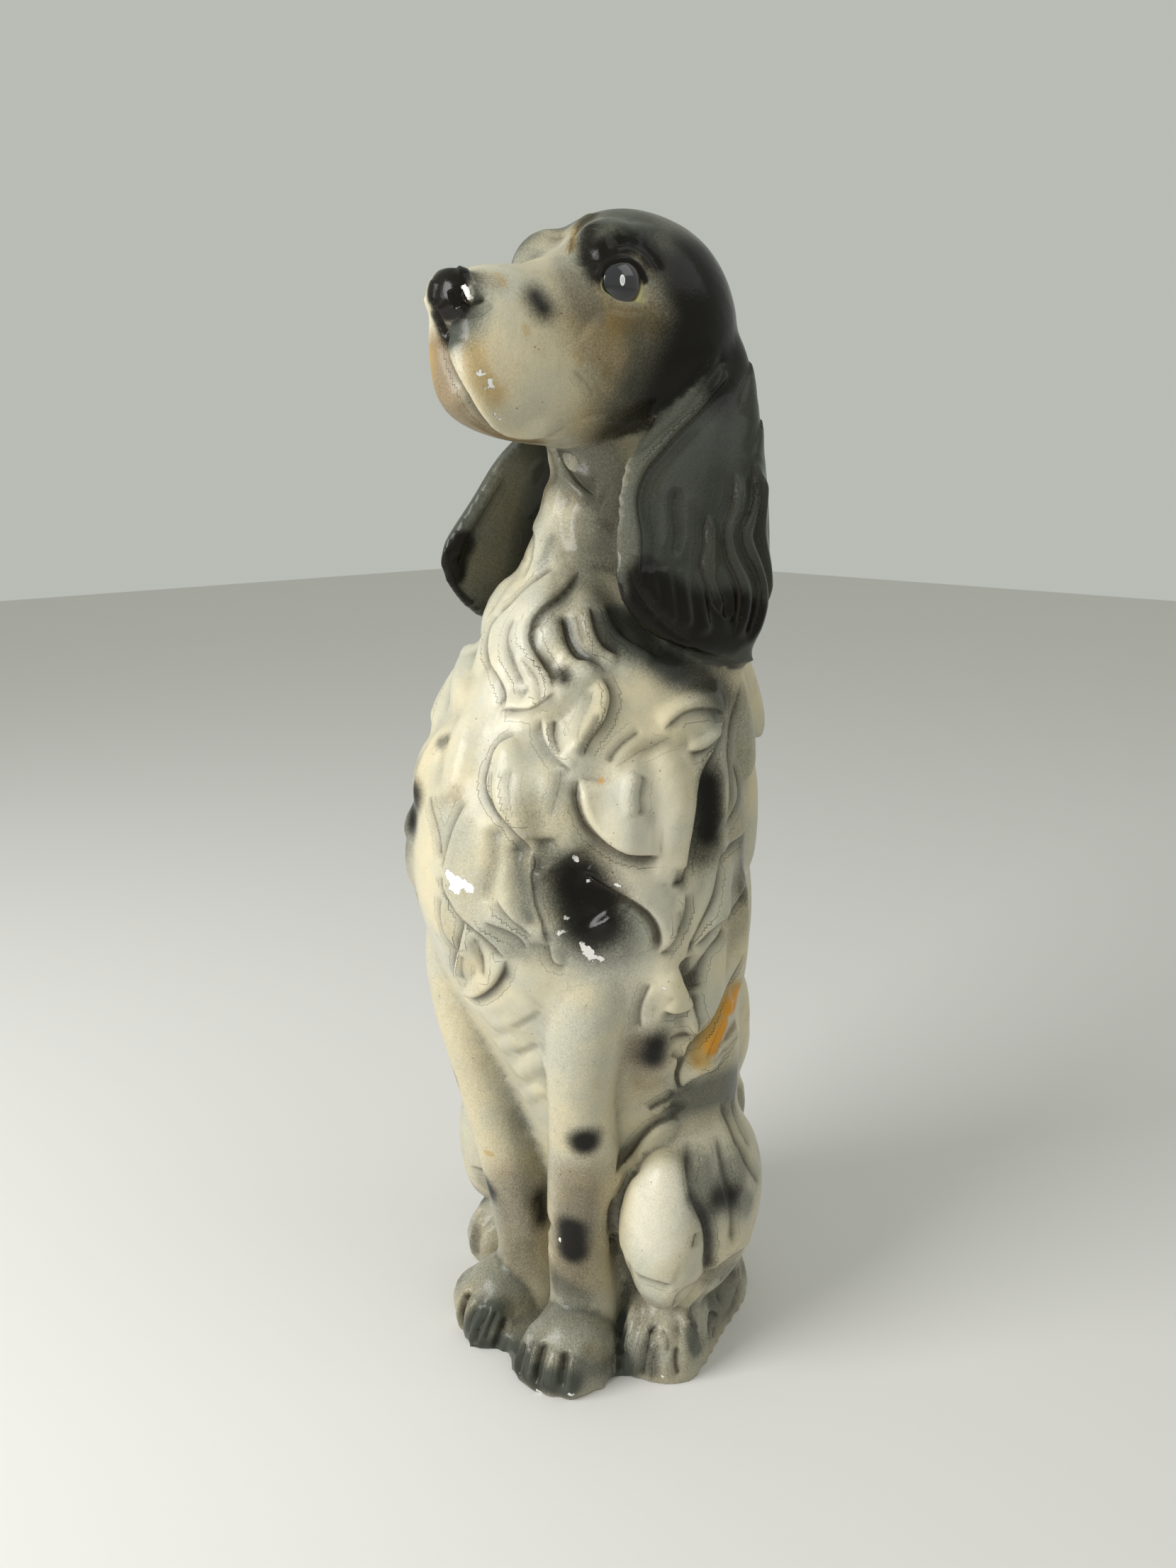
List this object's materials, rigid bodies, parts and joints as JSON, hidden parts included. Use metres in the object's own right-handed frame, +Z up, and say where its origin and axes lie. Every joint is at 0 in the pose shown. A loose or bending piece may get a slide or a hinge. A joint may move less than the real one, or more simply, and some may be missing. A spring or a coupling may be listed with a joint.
{
  "type": "dog figure",
  "caption": "Tall hollow chalkware figure of a seated long-eared spaniel on its own flat base, with carved fur locks and airbrushed paint, for standing on a floor, shelf or mantel.",
  "frame": {"origin": "on the table, under the middle of the figure's outline", "axes": "+Z up, the dog looks along -Y, its left side is +X"},
  "size_m": [0.131, 0.1422, 0.4214],
  "materials": {
    "painted_plaster": "cream paint with grey, tan and black airbrushed patches under a worn satin varnish",
    "painted_ears": "black and grey airbrushed paint under glossy varnish",
    "painted_head": "cream face with black and tan airbrushed patches under satin varnish",
    "painted_feet": "cream with dark grey-green airbrushed toes and base edge",
    "nose_paint": "glossy black paint, chipped to the white plaster at the nostril",
    "eye_paint": "glossy painted eye: grey iris, black pupil, pale yellow corner and white highlight"
  },
  "bodies": {
    "root": {"base_slab": "painted_feet", "torso_front": "painted_plaster", "torso_back": "painted_plaster", "head_shell": "painted_head", "nose": "nose_paint", "left_eye": "eye_paint", "right_eye": "eye_paint", "left_ear": "painted_ears", "right_ear": "painted_ears", "left_foreleg": "painted_plaster", "right_foreleg": "painted_plaster", "left_forepaw": "painted_feet", "right_forepaw": "painted_feet", "left_haunch": "painted_plaster", "right_haunch": "painted_plaster", "left_hind_paw": "painted_feet", "right_hind_paw": "painted_feet", "tail": "painted_plaster"}
  },
  "joints": []
}
